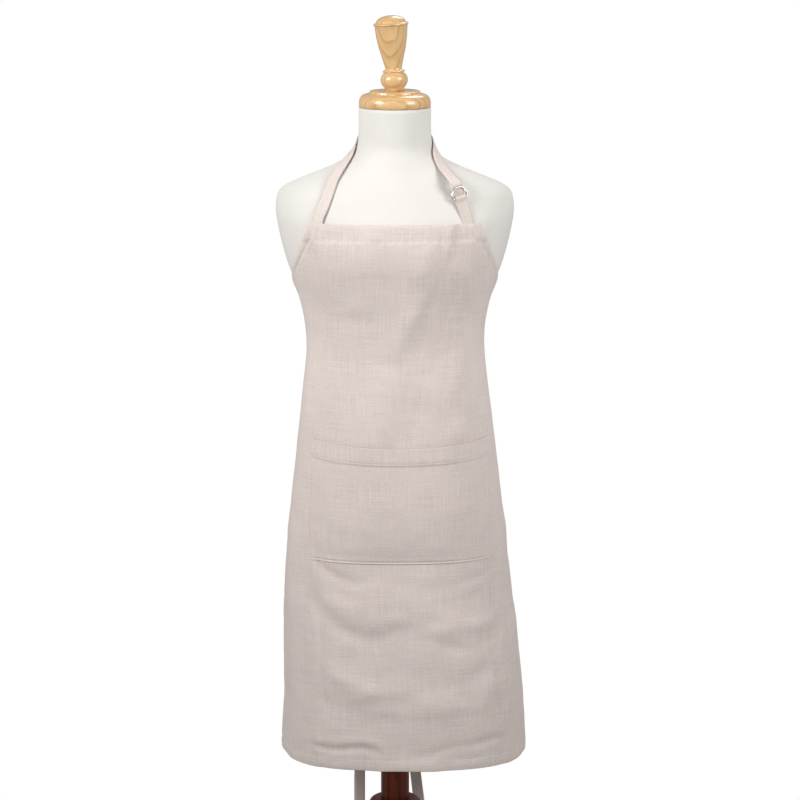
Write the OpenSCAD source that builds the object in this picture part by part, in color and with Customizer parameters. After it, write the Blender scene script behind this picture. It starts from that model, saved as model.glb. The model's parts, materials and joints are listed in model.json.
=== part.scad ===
// Bib apron with a wide pocket, tied on a dress form that stands on a turned wooden stand.
// Millimetres, +Z up. X runs across the shoulders, -Y is the front. Origin: centre of the foot, on the floor.

/* [Stand] */
// Diameter of the turned base
base_d = 400; // [380:5:460]
// Thickness of the turned base
base_h = 32; // [26:1:45]
// Thickness of the felt under the base
felt_t = 2; // [1:0.5:4]
// Diameter of the steel ballast plate
ballast_d = 250; // [150:5:300]
// Thickness of the steel ballast plate
ballast_t = 10; // [6:1:14]
// Height of the column's top edge above the floor
column_top_z = 420; // [380:5:460]
// Height of the turned head that carries the clamp
head_h = 70; // [60:2:90]
// Diameter of the turned head
head_d = 80; // [76:1:96]
// Diameter of the pole
pole_d = 43; // [36:1:52]
// Height of the pole's lower end at the lowest setting
pole_foot_z = 140; // [110:5:160]

/* [Clamp] */
// Diameter of the clamp stud
stud_d = 8; // [6:0.5:10]
// Outer diameter of the threaded insert
insert_d = 12; // [11.5:0.5:15]
// Diameter of the clamp knob
knob_d = 38; // [30:1:44]
// Length of the clamp knob
knob_l = 30; // [24:1:36]
// Thread pitch of the clamp stud
stud_pitch = 1.25; // [0.8:0.05:1.5]

/* [Form] */
// Height of the form's lower edge above the floor at the lowest setting
form_z = 742; // [720:1:800]
// Height of the form, lower edge to neck top
form_h = 735; // [610:5:900]
// Width across the shoulders
shoulder_w = 346; // [288:2:416]
// Front-to-back depth at the chest
chest_d = 226; // [188:2:272]
// Diameter of the neck
neck_d = 104; // [88:1:120]
// Wall of the moulded shell
shell_t = 4; // [3:0.5:6]
// Thickness of the knitted cover
cover_t = 1; // [0.6:0.1:2]
// Thickness of the bottom board
board_t = 18; // [12:1:24]
// Diameter of the flange under the bottom board
flange_d = 100; // [86:2:120]
// Length of the pole socket
socket_l = 60; // [40:2:80]

/* [Neck cap and finial] */
// Diameter of the neck cap
cap_d = 105; // [96:1:126]
// Height of the neck cap
cap_h = 24; // [20:1:30]
// Height of the finial
finial_h = 109; // [90:1:131]
// Largest diameter of the finial
finial_d = 50; // [42:1:60]

/* [Apron] */
// Width of the panel as cut
panel_w = 710; // [590:5:780]
// Length of the panel as cut, top hem to bottom hem
panel_l = 813; // [680:1:830]
// Width of the bib at its top edge
bib_w = 254; // [230:2:320]
// Height of the curved armhole edge
armhole_h = 274; // [230:2:330]
// Thickness of the cloth in the panel and pocket
cloth_t = 1.5; // [1:0.1:2]
// Width of the pocket
pocket_w = 280; // [220:5:336]
// Height of the pocket
pocket_h = 180; // [140:2:209]
// Distance from the bib's top edge to the pocket's top edge
pocket_drop = 321; // [290:1:340]
// How far the pocket's mouth stands off the panel
pocket_bow = 12; // [10:1:16]
// Width of the neck strap and the waist ties
strap_w = 17; // [14:0.5:20.5]
// Thickness of the strap
strap_t = 1; // [0.8:0.1:1.4]

/* [Rings] */
// Outer width of a D-ring
ring_w = 24; // [22:0.5:29]
// Diameter of the ring wire
wire_d = 1.8; // [1.5:0.1:2.2]

/* [Hidden] */

run_gap = 0.08;      // radial clearance where the pole and the stud move
seat_gap = 0.05;     // clearance between glued or screwed pieces
cloth_gap = 2;       // how far the panel stays off the form's cover
sewn_in = 0.2;       // how far sewn layers sink into each other
e = 1;               // overrun of a cut past the face it opens

pole_r = pole_d / 2;
column_foot_z = felt_t + base_h;
head_foot_z = column_top_z - head_h;
clamp_z = head_foot_z + head_h / 2;
screw_r = 2;
bolt_r = 5;
bolt_l = 44;         // depth of the bolt's hole in the column
tenon_r = pole_r + 6;
tenon_h = 14;

form_top_z = form_z + form_h;
board_z = form_z + 2;
washer_t = 2;
flange_t = 3;
pole_top_z = board_z - washer_t;
socket_r = pole_r + 3;
flange_holes_r = (socket_r + flange_d / 2) / 2;
finial_stud_r = 4;

bib_z = form_z + 0.7855 * form_h;
hem_z = bib_z - panel_l;
tie_z = bib_z - armhole_h;
hip_z = form_z + 0.117 * form_h;
pocket_top_z = bib_z - pocket_drop;
pocket_foot_z = pocket_top_z - pocket_h;

cover_sides = 40;
panel_half_cols = 18;

wood = "BurlyWood";
dark_wood = "SaddleBrown";
steel = "Silver";
linen = [0.80, 0.75, 0.71];

// ---------- the form's surface ----------

// Height as a share of the form, then half width, front and back depth as shares, then roundness
function body_row(h, w, front, back, n) =
    [form_z + h * form_h, w * shoulder_w / 2, front * chest_d, back * chest_d, n];
function neck_row(h, w, front, back) =
    [form_z + h * form_h, w * neck_d / 2, front * neck_d / 2, back * neck_d / 2, 2];

form_rows = [
    body_row(0.000, 0.83, 0.44, 0.46, 2.3),
    body_row(0.117, 0.902, 0.48, 0.50, 2.3),
    body_row(0.200, 0.868, 0.48, 0.50, 2.3),
    body_row(0.327, 0.806, 0.46, 0.44, 2.3),
    body_row(0.433, 0.757, 0.44, 0.41, 2.3),
    body_row(0.533, 0.727, 0.43, 0.39, 2.2),
    body_row(0.615, 0.785, 0.46, 0.41, 2.2),
    body_row(0.697, 0.915, 0.51, 0.43, 2.2),
    body_row(0.777, 0.995, 0.50, 0.46, 2.2),
    body_row(0.816, 1.00, 0.44, 0.45, 2.2),
    body_row(0.840, 0.953, 0.39, 0.43, 2.2),
    body_row(0.860, 0.779, 0.34, 0.39, 2.1),
    body_row(0.880, 0.565, 0.29, 0.34, 2.0),
    neck_row(0.900, 1.34, 1.12, 1.26),
    neck_row(0.920, 1.07, 1.00, 1.08),
    neck_row(0.956, 1.00, 1.00, 1.00),
    neck_row(1.000, 1.00, 1.00, 1.00)
];

function interval(rows, z, i = 0) =
    i >= len(rows) - 2 || z < rows[i + 1][0] ? i : interval(rows, z, i + 1);
function slope(rows, i) =
    let (a = rows[max(i - 1, 0)], b = rows[min(i + 1, len(rows) - 1)]) (b - a) / (b[0] - a[0]);
function smooth_row(rows, z) =
    let (i = interval(rows, z), a = rows[i], b = rows[i + 1], d = b[0] - a[0], t = (z - a[0]) / d)
    a * (2 * pow(t, 3) - 3 * t * t + 1) + slope(rows, i) * d * (pow(t, 3) - 2 * t * t + t)
    + b * (3 * t * t - 2 * pow(t, 3)) + slope(rows, i + 1) * d * (pow(t, 3) - t * t);

function form_at(z) = smooth_row(form_rows, min(max(z, form_z), form_top_z));
function grown(sec, g) = [sec[0], sec[1] + g, sec[2] + g, sec[3] + g, sec[4]];
function mixed(a, b, t) = a * (1 - t) + b * t;

// A point on a section: angle 0 is the front, 90 the wearer's left side, 180 the back
function rim(sec, a) =
    let (s = sin(a), c = cos(a), p = 2 / sec[4])
    [sec[1] * sign(s) * pow(abs(s), p), (c > 0 ? -sec[2] : sec[3]) * pow(abs(c), p)];

function unit(v) = v / norm(v);

// Outward direction of the form's surface at angle a and height z
function outward(a, z) =
    let (
        p = rim(form_at(z), a),
        along = rim(form_at(z), a + 1) - rim(form_at(z), a - 1),
        up = rim(form_at(z + 2), a) - rim(form_at(z - 2), a)
    )
    unit(cross([along[0], along[1], 0], [up[0], up[1], 4]));

function on_form(a, z, lift) =
    let (p = rim(form_at(z), a)) [p[0], p[1], z] + outward(a, z) * lift;

// ---------- the hanging panel's surface ----------

// How far the cloth stands off the form, bridging the hollow of the waist
function ease(z) = cover_t + lookup((z - form_z) / form_h,
    [[0.1, cloth_gap + 1], [0.35, cloth_gap + 2], [0.53, cloth_gap + 1], [0.68, cloth_gap],
     [0.74, cloth_gap + 2 * strap_t + 0.5], [0.8, cloth_gap + 2 * strap_t + 0.5]]);
hip_row = grown(form_at(hip_z), ease(hip_z));
hem_row = [hem_z, hip_row[1] * 1.115, hip_row[2] * 1.15, hip_row[3] * 0.98, 2.5];
function panel_at(z) =
    z >= hip_z ? grown(form_at(z), ease(z)) : mixed(hip_row, hem_row, sin(90 * pow((hip_z - z) / (hip_z - hem_z), 1.3)));

// Half width of the flat panel at height z: narrow bib, armhole curve, straight sides
function panel_half(z) =
    z <= tie_z ? panel_w / 2
    : mixed(bib_w / 2, panel_w / 2, pow((bib_z - z) / armhole_h, 1.2));

// Angle at which a section's rim, walked from the front, is s long
function rim_angle(sec, s) =
    let (
        step = 4,
        pts = [for (a = [0 : step : 180]) rim(sec, a)],
        sums = [for (i = 0, t = 0; i < len(pts); t = t + (i < len(pts) - 1 ? norm(pts[i + 1] - pts[i]) : 0), i = i + 1)
            [t, i * step]]
    )
    sign(s) * lookup(abs(s), sums);

function panel_point(z, s, lift) =
    let (sec = panel_at(z), a = rim_angle(sec, s), p = rim(grown(sec, lift), a)) [p[0], p[1], z];

// ---------- solids from rings of points ----------

function flat_list(lists) = [for (l = lists) each l];

// Side faces between neighbouring rings of m points; from ring "back" on, quads split the other way
function ring_faces(count, m, closed, back) =
    [for (i = [0 : count - (closed ? 1 : 2)]) for (j = [0 : m - 1])
        let (n = (i + 1) % count, k = (j + 1) % m, a = i * m + j, b = n * m + j, c = n * m + k, d = i * m + k)
        each i < back ? [[a, b, c], [a, c, d]] : [[a, b, d], [b, c, d]]];

// Closed wall: the rings run up the outside and down the inside, with both faces cut along the same diagonals
module wall_of(rings) {
    polyhedron(flat_list(rings), ring_faces(len(rings), len(rings[0]), true, len(rings) / 2));
}

// Sheet: each ring runs out along one face and back along the other
module sheet_of(rings) {
    m = len(rings[0]);
    last = (len(rings) - 1) * m;
    ends = [for (j = [0 : m / 2 - 2])
        each [[j, j + 1, m - 2 - j], [j, m - 2 - j, m - 1 - j],
              [last + j + 1, last + j, last + m - 1 - j], [last + j + 1, last + m - 1 - j, last + m - 2 - j]]];
    polyhedron(flat_list(rings), concat(ring_faces(len(rings), m, false, len(rings)), ends));
}

// Ribbon along points with a face direction at each
module ribbon(points, faces_dir, width, thick) {
    n = len(points) - 1;
    rings = [for (i = [0 : n])
        let (
            run = unit(points[min(i + 1, n)] - points[max(i - 1, 0)]),
            side = unit(cross(run, faces_dir[i])) * width / 2,
            out = unit(cross(side, run)) * thick / 2
        )
        [points[i] - side + out, points[i] + side + out, points[i] + side - out, points[i] - side - out]];
    sheet_of(rings);
}

// Catmull-Rom curve through points
function curve_through(p, cuts) =
    let (n = len(p) - 1)
    [for (i = [0 : n - 1]) for (k = [0 : cuts - 1])
        let (t = k / cuts, a = p[max(i - 1, 0)], b = p[i], c = p[i + 1], d = p[min(i + 2, n)])
        0.5 * (2 * b + (c - a) * t + (2 * a - 5 * b + 4 * c - d) * t * t + (3 * b - a - 3 * c + d) * pow(t, 3)),
     p[n]];

// Rows of the form's wall, closer together over the shoulders
wall_heights = concat([for (i = [0 : 21]) 0.8 * i / 22], [for (i = [0 : 16]) 0.8 + 0.16 * i / 16], [1]);

module form_wall(outer_lift, inner_lift) {
    angles = [for (i = [0 : cover_sides - 1]) 360 * i / cover_sides];
    up = [for (h = wall_heights) form_z + form_h * h];
    function ring(z, lift) = [for (a = angles) let (p = rim(grown(form_at(z), lift), a)) [p[0], p[1], z]];
    last = len(up) - 1;
    wall_of(concat([for (z = up) ring(z, outer_lift)], [for (i = [0 : last]) ring(up[last - i], inner_lift)]));
}

// ---------- stand ----------

module felt_pad() {
    color("DimGray") difference() {
        cylinder(h = felt_t, d = base_d - 8, $fn = 96);
        translate([0, 0, -e]) cylinder(h = felt_t + 2 * e, r = 14, $fn = 48);
    }
}

module ballast_plate() {
    color("SlateGray") translate([0, 0, felt_t]) difference() {
        cylinder(h = ballast_t, d = ballast_d, $fn = 96);
        translate([0, 0, -e]) cylinder(h = ballast_t + 2 * e, r = bolt_r + 0.3, $fn = 48);
        translate([0, 0, -e]) cylinder(h = e + 5, r = 11, $fn = 48);
        for (a = [45 : 90 : 315]) rotate([0, 0, a]) translate([ballast_d / 2 - 18, 0, -e]) {
            cylinder(h = ballast_t + 2 * e, r = screw_r + 0.3, $fn = 24);
            cylinder(h = e + 3, r = 2 * screw_r + 0.3, $fn = 24);
        }
    }
}

module ballast_screws() {
    color(steel) for (a = [45 : 90 : 315]) rotate([0, 0, a]) translate([ballast_d / 2 - 18, 0, felt_t]) {
        translate([0, 0, 0.5]) cylinder(h = 2.5, r = 2 * screw_r, $fn = 24);
        translate([0, 0, 0.5]) cylinder(h = ballast_t + 10, r = screw_r, $fn = 24);
    }
}

module base_disc() {
    r = base_d / 2;
    step_r = head_d / 2 + 36;
    color(dark_wood) translate([0, 0, felt_t]) difference() {
        rotate_extrude($fn = 120) {
            square([step_r, base_h]);
            square([r - 8, base_h - 8]);
            square([r, base_h - 16]);
            translate([r - 8, base_h - 16]) circle(r = 8, $fn = 48);
            translate([step_r, 0]) square([6, base_h - 4]);
        }
        translate([0, 0, -e]) cylinder(h = ballast_t + e + seat_gap, d = ballast_d + 1, $fn = 96);
        translate([0, 0, -e]) cylinder(h = base_h + 2 * e, r = bolt_r + seat_gap, $fn = 48);
        for (a = [45 : 90 : 315]) rotate([0, 0, a]) translate([ballast_d / 2 - 18, 0, ballast_t])
            cylinder(h = 12, r = screw_r + seat_gap, $fn = 24);
    }
}

module column_bolt() {
    color(steel) translate([0, 0, felt_t]) {
        translate([0, 0, 1]) cylinder(h = 4, r = 9, $fn = 6);
        translate([0, 0, 1]) cylinder(h = base_h + bolt_l - 2, r = bolt_r, $fn = 48);
    }
}

module column() {
    foot_r = head_d / 2 + 28;
    waist_r = pole_r + 10;
    body_h = head_foot_z - column_foot_z;
    color(dark_wood) difference() {
        union() {
            translate([0, 0, column_foot_z]) rotate_extrude($fn = 96) {
                square([waist_r, body_h]);
                square([foot_r, 12]);
                translate([foot_r - 6, 12]) circle(r = 6, $fn = 32);
                square([foot_r - 6, 18]);
                square([foot_r - 14, 34]);
                translate([foot_r - 14, 26]) circle(r = 8, $fn = 32);
                translate([0, body_h - 22]) square([head_d / 2 - 2, 22]);
                translate([head_d / 2 - 2, body_h - 11]) circle(r = 8, $fn = 32);
                translate([0, body_h * 0.45]) square([waist_r + 6, 30]);
                translate([waist_r + 4, body_h * 0.45 + 15]) circle(r = 12, $fn = 40);
            }
            translate([0, 0, head_foot_z]) cylinder(h = tenon_h, r = tenon_r, $fn = 96);
        }
        translate([0, 0, pole_foot_z - 30]) cylinder(h = column_top_z, r = pole_r + run_gap, $fn = 96);
        translate([0, 0, column_foot_z - e]) cylinder(h = bolt_l + e, r = bolt_r + seat_gap, $fn = 48);
    }
}

module column_head() {
    r = head_d / 2;
    color(dark_wood) difference() {
        translate([0, 0, head_foot_z]) rotate_extrude($fn = 96) {
            square([r - 10, head_h]);
            square([r, head_h - 10]);
            translate([r - 10, head_h - 10]) circle(r = 10, $fn = 48);
        }
        translate([0, 0, head_foot_z - e]) cylinder(h = head_h + 2 * e, r = pole_r + run_gap, $fn = 96);
        translate([0, 0, head_foot_z - e]) cylinder(h = tenon_h + e + seat_gap, r = tenon_r + seat_gap, $fn = 96);
        translate([0, 0, clamp_z]) rotate([0, 90, 0]) cylinder(h = r + e, r = insert_d / 2 + seat_gap, $fn = 48);
    }
}

// ---------- clamp, on a line along X through the head ----------

pad_t = 2;
pad_x = pole_r + run_gap + 0.02;
insert_x = pad_x + pad_t + stud_pitch + 1;
knob_x = head_d / 2 + 6;

module along_clamp(x) {
    translate([x, 0, clamp_z]) rotate([0, 90, 0]) children();
}

module clamp_insert() {
    color("Goldenrod") difference() {
        along_clamp(insert_x) cylinder(h = head_d / 2 - insert_x - 0.5, d = insert_d, $fn = 48);
        along_clamp(insert_x - e) cylinder(h = head_d / 2, d = stud_d + 2 * run_gap, $fn = 48);
    }
}

module clamp_pad() {
    color("Ivory") along_clamp(pad_x) cylinder(h = pad_t, d = insert_d - 1, $fn = 48);
}

module clamp_stud() {
    color(steel) along_clamp(pad_x + pad_t + 0.02)
        cylinder(h = knob_x + knob_l - 8 - pad_x - pad_t, d = stud_d, $fn = 48);
}

module clamp_knob() {
    r = knob_d / 2;
    color(dark_wood) difference() {
        along_clamp(knob_x) rotate_extrude($fn = 72) {
            square([r * 0.55, knob_l - 6]);
            translate([0, 8]) square([r - 4, knob_l - 14]);
            translate([r - 4, 8]) circle(r = 4, $fn = 32);
            translate([0, 8]) square([r, knob_l - 18]);
            translate([r - 6, knob_l - 10]) circle(r = 6, $fn = 32);
            translate([0, knob_l - 10]) square([r - 6, 6]);
        }
        along_clamp(knob_x - e) cylinder(h = knob_l - 8 + e + 0.3, d = stud_d + 2 * seat_gap, $fn = 48);
    }
}

// ---------- pole and socket ----------

module pole() {
    color(dark_wood) translate([0, 0, pole_foot_z])
        cylinder(h = pole_top_z - pole_foot_z, r = pole_r, $fn = 96);
}

module swivel_washer() {
    color("Ivory") translate([0, 0, pole_top_z]) cylinder(h = washer_t - 0.05, r = pole_r - 0.5, $fn = 72);
}

module pole_socket() {
    color("DimGray") difference() {
        union() {
            translate([0, 0, board_z - flange_t]) cylinder(h = flange_t, d = flange_d, $fn = 72);
            translate([0, 0, board_z - socket_l]) cylinder(h = socket_l, r = socket_r, $fn = 72);
        }
        translate([0, 0, board_z - socket_l - e])
            cylinder(h = socket_l + 2 * e, r = pole_r + run_gap, $fn = 96);
        for (a = [45 : 90 : 315]) rotate([0, 0, a]) translate([flange_holes_r, 0, board_z - flange_t - e])
            cylinder(h = flange_t + 2 * e, r = screw_r + 0.3, $fn = 24);
    }
}

module socket_screws() {
    color(steel) for (a = [45 : 90 : 315]) rotate([0, 0, a]) translate([flange_holes_r, 0, board_z]) {
        translate([0, 0, -flange_t - 2]) cylinder(h = 2, r = 2 * screw_r, $fn = 24);
        translate([0, 0, -flange_t - 2]) cylinder(h = board_t, r = screw_r, $fn = 24);
    }
}

// ---------- form ----------

module bottom_board() {
    sec = grown(form_at(board_z), -shell_t - 0.3);
    color(wood) difference() {
        translate([0, 0, board_z]) linear_extrude(board_t)
            polygon([for (a = [0 : 9 : 351]) rim(sec, a)]);
        for (a = [45 : 90 : 315]) rotate([0, 0, a]) translate([flange_holes_r, 0, board_z - e])
            cylinder(h = board_t - 4 + e, r = screw_r + seat_gap, $fn = 24);
    }
}

module torso_shell() {
    color("WhiteSmoke") form_wall(0, -shell_t);
}

module form_cover() {
    color("Ivory") form_wall(cover_t, 0.02);
}

module neck_block() {
    color(wood) difference() {
        translate([0, 0, form_top_z - 26]) cylinder(h = 26, r = neck_d / 2 - shell_t - 1.2, $fn = 72);
        translate([0, 0, form_top_z - 26 - e]) cylinder(h = 26 + 2 * e, r = finial_stud_r + seat_gap, $fn = 48);
    }
}

module neck_cap() {
    r = cap_d / 2;
    disc_h = 4;
    rim_r = (cap_h - disc_h) * 0.42;
    color(wood) translate([0, 0, form_top_z]) difference() {
        rotate_extrude($fn = 96) {
            square([r - rim_r, cap_h - disc_h]);
            translate([0, 2]) square([r - 2, 4]);
            translate([r - rim_r, cap_h - disc_h - rim_r]) circle(r = rim_r, $fn = 48);
            translate([0, 4]) square([r - 0.5, cap_h - disc_h - rim_r - 4]);
            square([r * 0.7, cap_h]);
        }
        translate([0, 0, -e]) cylinder(h = cap_h + 2 * e, r = finial_stud_r + seat_gap, $fn = 48);
    }
}

module finial_stud() {
    color(steel) translate([0, 0, form_top_z - 22])
        cylinder(h = 22 + cap_h + 20, r = finial_stud_r, $fn = 48);
}

module finial() {
    r = finial_d / 2;
    ball_r = r * 0.8;
    ring_z = finial_h * 0.26;
    flare_z = finial_h * 0.87;
    color(wood) translate([0, 0, form_top_z + cap_h]) difference() {
        rotate_extrude($fn = 96) {
            square([r * 0.52, ring_z]);
            intersection() {
                translate([0, ring_z * 0.56]) circle(r = ball_r, $fn = 72);
                square([r, ring_z]);
            }
            translate([0, ring_z - 5]) square([r * 0.66, 4]);
            polygon([[0, ring_z - 1], [r * 0.5, ring_z - 1], [r * 0.64, ring_z + (flare_z - ring_z) * 0.33],
                     [r, flare_z], [r * 0.96, flare_z + 3], [r * 0.84, flare_z + 5], [0, flare_z + 5]]);
            intersection() {
                translate([0, finial_h - r * 1.5]) circle(r = r * 1.5, $fn = 96);
                translate([0, flare_z]) square([r * 0.84, finial_h]);
            }
        }
        translate([0, 0, -e]) cylinder(h = 21 + e, r = finial_stud_r + seat_gap, $fn = 48);
    }
}

// ---------- apron ----------

module apron_panel() {
    bib_rows = 14;
    skirt_rows = 16;
    heights = concat(
        [for (i = [0 : skirt_rows - 1]) mixed(hem_z, tie_z, i / skirt_rows)],
        [for (i = [0 : bib_rows]) mixed(tie_z, bib_z, i / bib_rows)]);
    color(linen) sheet_of([for (z = heights)
        let (w = panel_half(z) / panel_half_cols)
        concat([for (j = [-panel_half_cols : panel_half_cols]) panel_point(z, w * j, cloth_t)],
               [for (j = [-panel_half_cols : panel_half_cols]) panel_point(z, -w * j, 0)])]);
}

module pocket() {
    cols = 8;
    rows = 7;
    function bow(u, v) = (pocket_bow + sewn_in) * (1 - pow(abs(u), 4)) * sqrt(v) - sewn_in;
    function row(z, v, lift) = [for (j = [-cols : cols])
        panel_point(z, pocket_w / 2 * j / cols, cloth_t + bow(j / cols, v) + lift)];
    function back_row(z, v) = let (r = row(z, v, 0)) [for (j = [0 : 2 * cols]) r[2 * cols - j]];
    color(linen) sheet_of([for (i = [0 : rows])
        let (v = i / rows, z = mixed(pocket_foot_z, pocket_top_z, v))
        concat(row(z, v, cloth_t), back_row(z, v))]);
}

// ---------- buckle frame: bar along "across", strap runs along "up_strap" ----------

buckle_z = form_z + 0.829 * form_h;
buckle_a = 30.4;
strap_foot_z = bib_z - 20;
strap_foot_a = rim_angle(panel_at(strap_foot_z), bib_w / 2 - strap_w / 2 - 1);
wire_r = wire_d / 2;
bar_gap = wire_d + 0.5;
loop_r = wire_r + 0.2 + strap_t;
buckle_lift = cover_t + bar_gap + loop_r + strap_t + 3.4;
bar_at = on_form(buckle_a, buckle_z, buckle_lift);
foot_at = on_form(strap_foot_a, strap_foot_z, ease(strap_foot_z) - strap_t + sewn_in + bar_gap / 2);
up_strap = unit(bar_at - foot_at);
across = unit(cross(up_strap, outward(buckle_a, buckle_z)));
outwards = cross(across, up_strap);
function in_buckle(u, n) = bar_at + up_strap * u + outwards * n;

// X runs across, Y up the strap, Z outwards
module at_buckle() {
    multmatrix([[across[0], up_strap[0], outwards[0], bar_at[0]],
                [across[1], up_strap[1], outwards[1], bar_at[1]],
                [across[2], up_strap[2], outwards[2], bar_at[2]],
                [0, 0, 0, 1]]) children();
}

module d_ring(tilt) {
    half = ring_w / 2 - wire_r;
    rise = 4;
    rotate([tilt, 0, 0]) {
        rotate([0, 90, 0]) cylinder(h = 2 * half, r = wire_r, center = true, $fn = 32);
        for (s = [-1, 1]) translate([s * half, 0, 0]) {
            sphere(r = wire_r, $fn = 32);
            rotate([-90, 0, 0]) cylinder(h = rise, r = wire_r, $fn = 32);
        }
        translate([0, rise, 0]) rotate_extrude(angle = 180, $fn = 72) translate([half, 0])
            circle(r = wire_r, $fn = 32);
    }
}

module d_ring_front() {
    color(steel) at_buckle() d_ring(4);
}

module d_ring_rear() {
    color(steel) at_buckle() translate([0, 0, -bar_gap]) d_ring(-6);
}

module ring_strap() {
    length = norm(bar_at - foot_at);
    color(linen) at_buckle() difference() {
        rotate([0, -90, 0]) linear_extrude(strap_w, center = true) {
            for (n = [0, -bar_gap]) translate([n, 0]) circle(r = loop_r, $fn = 32);
            translate([-bar_gap, -loop_r]) square([bar_gap, 2 * loop_r]);
            translate([-bar_gap / 2 - strap_t, -length]) square([2 * strap_t, length]);
        }
        for (n = [0, -bar_gap]) translate([0, 0, n]) rotate([0, 90, 0])
            cylinder(h = strap_w + 2 * e, r = wire_r + run_gap, center = true, $fn = 32);
    }
}

// ---------- neck strap ----------

// Angle and height share along the form, from the left corner of the bib round the neck
neck_route = [
    [-strap_foot_a, (strap_foot_z - form_z) / form_h], [-37, 0.79], [-34, 0.815], [-33.2, 0.84], [-40.5, 0.86],
    [-53, 0.88], [-70, 0.9], [-89, 0.918], [-111, 0.93], [-135, 0.938], [-160, 0.943], [-180, 0.944],
    [-200, 0.943], [-225, 0.938], [-250, 0.93], [-276, 0.918], [-298.5, 0.901], [-313.5, 0.882]
];
// Distance up the strap and out from the front ring's bar: between the rings, then down behind them
strap_back = -bar_gap - loop_r - strap_t / 2 - 0.3;
tail_n = -bar_gap / 2 - 1.5 * strap_t - 0.3;
ring_route = [[22, -1.8], [15, -1.4], [10.5, -1.5], [7.5, -2.4], [5.2, -3.8], [3.6, strap_back + 0.2],
              [0, strap_back], [-4, strap_back + 0.2], [-11, tail_n - 0.3], [-15, tail_n], [-19.5, tail_n]];

module neck_strap() {
    lift = cover_t + strap_t / 2 + 0.6;
    sewn_lift = ease(strap_foot_z) - strap_t / 2 + sewn_in;
    foot_h = neck_route[0][1];
    over = [for (r = neck_route) on_form(r[0], form_z + r[1] * form_h,
        lookup(r[1], [[foot_h, sewn_lift], [foot_h + 0.03, sewn_lift - 0.5], [foot_h + 0.09, lift], [0.88, lift + 2.2],
            [0.93, lift + 2.2], [0.944, lift + 1]]))];
    over_dir = [for (r = neck_route) outward(r[0], form_z + r[1] * form_h)];
    through = [for (r = ring_route) in_buckle(r[0], r[1])];
    through_dir = [for (r = ring_route) outwards];
    color(linen) ribbon(curve_through(concat(over, through), 3),
                        curve_through(concat(over_dir, through_dir), 3), strap_w, strap_t);
}

// ---------- waist ties ----------

edge_a = rim_angle(panel_at(tie_z), panel_w / 2);

module waist_tie(side) {
    z = tie_z - strap_w / 2 - 2;
    lift = ease(z) + cloth_t + strap_t / 2 - sewn_in;
    stops = [for (i = [0 : 6]) mixed(edge_a - 7, 177, i / 6)];
    color(linen) ribbon([for (a = stops) on_form(side * a, z, lift)],
                        [for (a = stops) outward(side * a, z)], strap_w, strap_t);
}

module waist_tie_left() {
    waist_tie(-1);
}

module waist_tie_right() {
    waist_tie(1);
}

knot_z = tie_z - strap_w / 2 - 2;
knot_y = rim(grown(form_at(knot_z), ease(knot_z) + cloth_t), 180)[1] + 2;
knot_w = strap_w + 5;
knot_t = 14;

module tie_bow() {
    loop_l = 105;
    color(linen) {
        translate([0, knot_y + knot_t / 2, knot_z]) rotate([90, 0, 0]) linear_extrude(knot_t, center = true) {
            square([knot_w - 8, knot_w], center = true);
            square([knot_w, knot_w - 8], center = true);
            for (x = [-1, 1], y = [-1, 1]) translate([x, y] * (knot_w / 2 - 4)) circle(r = 4, $fn = 32);
        }
        for (s = [-1, 1]) translate([s * (knot_w / 2 - 3), knot_y + knot_t / 2 + 3, knot_z]) rotate([0, s * 48, 0])
            rotate([90, 0, 0]) linear_extrude(9, center = true) {
                translate([s > 0 ? 0 : -loop_l, -strap_w / 4]) square([loop_l, strap_w / 2]);
                translate([s * loop_l / 2, 0]) square([loop_l - 20, strap_w], center = true);
                translate([s * (loop_l - strap_w / 2), 0]) circle(d = strap_w, $fn = 48);
                translate([s * 10, 0]) circle(d = strap_w, $fn = 48);
            }
    }
}

// Offsets from the knot: sideways, backwards, down
tail_left_route = [
    [-6, 9, -9], [-10, 16, -30], [-14, 20, -55], [-18, 22, -85], [-22, 24, -120], [-26, 25, -155],
    [-30, 26, -190], [-34, 26, -225], [-37, 26, -265], [-40, 25, -305], [-43, 24, -345], [-46, 22, -385],
    [-48, 20, -425], [-50, 18, -465], [-52, 17, -505], [-54, 16, -545], [-55, 15, -585], [-56, 15, -625],
    [-56, 15, -665], [-55, 15, -700]
];
tail_right_route = [
    [6, 12, -9], [10, 18, -30], [11, 20, -55], [13, 22, -85], [15, 24, -120], [17, 25, -155],
    [19, 26, -190], [20, 26, -225], [21, 26, -265], [22, 25, -305], [23, 24, -345], [24, 22, -385],
    [24, 20, -425], [25, 18, -465], [26, 17, -505], [27, 16, -545], [29, 15, -585], [33, 15, -625],
    [38, 15, -665], [43, 15, -700]
];

module tie_tail(route) {
    thick = 2;
    n = len(route) - 1;
    pts = [for (p = route) [p[0], knot_y + p[1], knot_z + p[2]]];
    rings = [for (i = [0 : n])
        let (
            run = unit(pts[min(i + 1, n)] - pts[max(i - 1, 0)]),
            side = unit(cross(run, [0, 1, 0])),
            out = cross(side, run)
        )
        [for (k = [0 : 7]) let (a = 22.5 + 45 * k)
            pts[i] + side * cos(a) * strap_w / 2 / cos(22.5) + out * sin(a) * thick / 2 / cos(22.5)]];
    ends = [[for (k = [0 : 7]) k], [for (k = [0 : 7]) n * 8 + 7 - k]];
    color(linen) polyhedron(flat_list(rings), concat(ring_faces(n + 1, 8, false, n + 1), ends));
}

module tie_tail_left() {
    tie_tail(tail_left_route);
}

module tie_tail_right() {
    tie_tail(tail_right_route);
}

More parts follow.
